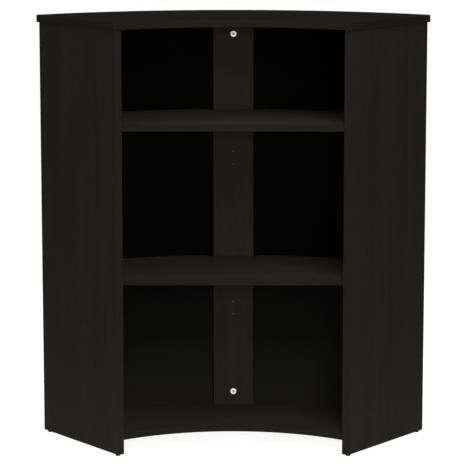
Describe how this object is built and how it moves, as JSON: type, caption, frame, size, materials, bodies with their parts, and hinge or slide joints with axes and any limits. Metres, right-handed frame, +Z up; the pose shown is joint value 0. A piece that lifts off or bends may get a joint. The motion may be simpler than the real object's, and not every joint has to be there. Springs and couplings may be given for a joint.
{
  "type": "curved corner display counter",
  "caption": "Curved corner display counter with an open concave back, loose shelves on pins, a centre post and a bent front sheet held by cam fittings.",
  "frame": {"origin": "centre of the bounding box in plan, on the floor under the foot glides", "axes": "+Z up, the longest extent; the open concave side faces -Y and the curved front sheet faces +Y; the unit is symmetric about the YZ plane"},
  "size_m": [0.9662, 0.4398, 1.048],
  "materials": {
    "black_laminate": "matt black-brown melamine with a faint upright wood grain",
    "edge_banding": "matt black-brown edge banding",
    "black_sheet": "satin black coated hardboard",
    "zinc": "bright die-cast zinc",
    "bolt_steel": "zinc plated",
    "pin_steel": "nickel plated",
    "beech": "bare fluted beech",
    "black_plastic": "moulded, fine texture"
  },
  "bodies": {
    "carcass": {"top_board": "black_laminate", "top_edge_band": "edge_banding", "bottom_board": "black_laminate", "bottom_edge_band": "edge_banding", "left_side_panel": "black_laminate", "right_side_panel": "black_laminate", "left_panel_edge_bands": "edge_banding", "right_panel_edge_bands": "edge_banding", "centre_post": "black_laminate", "post_edge_bands": "edge_banding", "curved_front_sheet": "black_sheet", "upper_shelf_pins": "pin_steel", "lower_shelf_pins": "pin_steel", "cam_bolts": "bolt_steel", "wooden_dowels": "beech", "foot_glides": "black_plastic"},
    "upper_shelf": {"upper_shelf": "black_laminate", "upper_shelf_edge_band": "edge_banding"},
    "lower_shelf": {"lower_shelf": "black_laminate", "lower_shelf_edge_band": "edge_banding"},
    "post_cam_top": {"post_cam_top": "zinc"},
    "post_cam_bottom": {"post_cam_bottom": "zinc"},
    "left_panel_cam_near": {"left_panel_cam_near": "zinc"},
    "left_panel_cam_far": {"left_panel_cam_far": "zinc"},
    "right_panel_cam_near": {"right_panel_cam_near": "zinc"},
    "right_panel_cam_far": {"right_panel_cam_far": "zinc"},
    "left_base_cam_near": {"left_base_cam_near": "zinc"},
    "left_base_cam_far": {"left_base_cam_far": "zinc"},
    "right_base_cam_near": {"right_base_cam_near": "zinc"},
    "right_base_cam_far": {"right_base_cam_far": "zinc"}
  },
  "joints": [
    {"name": "upper_shelf_lift", "type": "slide", "parent": "carcass", "child": "upper_shelf", "axis": [0, 0, 1], "range_m": [0, 0.22]},
    {"name": "lower_shelf_lift", "type": "slide", "parent": "carcass", "child": "lower_shelf", "axis": [0, 0, 1], "range_m": [0, 0.34]},
    {"name": "post_cam_top_turn", "type": "hinge", "parent": "carcass", "child": "post_cam_top", "pos_m": [0, 0.11292, 0.996], "axis": [0, -1, 0], "range_deg": [0, 190]},
    {"name": "post_cam_bottom_turn", "type": "hinge", "parent": "carcass", "child": "post_cam_bottom", "pos_m": [0, 0.11292, 0.088], "axis": [0, -1, 0], "range_deg": [0, 190]},
    {"name": "left_panel_cam_near_turn", "type": "hinge", "parent": "carcass", "child": "left_panel_cam_near", "pos_m": [-0.29342, -0.16174, 0.996], "axis": [0.7934, 0.6088, 0], "range_deg": [0, 190]},
    {"name": "left_panel_cam_far_turn", "type": "hinge", "parent": "carcass", "child": "left_panel_cam_far", "pos_m": [-0.38169, -0.0467, 0.996], "axis": [0.7934, 0.6088, 0], "range_deg": [0, 190]},
    {"name": "right_panel_cam_near_turn", "type": "hinge", "parent": "carcass", "child": "right_panel_cam_near", "pos_m": [0.29342, -0.16174, 0.996], "axis": [-0.7934, 0.6088, 0], "range_deg": [0, 190]},
    {"name": "right_panel_cam_far_turn", "type": "hinge", "parent": "carcass", "child": "right_panel_cam_far", "pos_m": [0.38169, -0.0467, 0.996], "axis": [-0.7934, 0.6088, 0], "range_deg": [0, 190]},
    {"name": "left_base_cam_near_turn", "type": "hinge", "parent": "carcass", "child": "left_base_cam_near", "pos_m": [-0.27741, -0.12676, 0.036], "axis": [0, 0, -1], "range_deg": [0, 190]},
    {"name": "left_base_cam_far_turn", "type": "hinge", "parent": "carcass", "child": "left_base_cam_far", "pos_m": [-0.35472, -0.026, 0.036], "axis": [0, 0, -1], "range_deg": [0, 190]},
    {"name": "right_base_cam_near_turn", "type": "hinge", "parent": "carcass", "child": "right_base_cam_near", "pos_m": [0.27741, -0.12676, 0.036], "axis": [0, 0, -1], "range_deg": [0, 190]},
    {"name": "right_base_cam_far_turn", "type": "hinge", "parent": "carcass", "child": "right_base_cam_far", "pos_m": [0.35472, -0.026, 0.036], "axis": [0, 0, -1], "range_deg": [0, 190]}
  ]
}
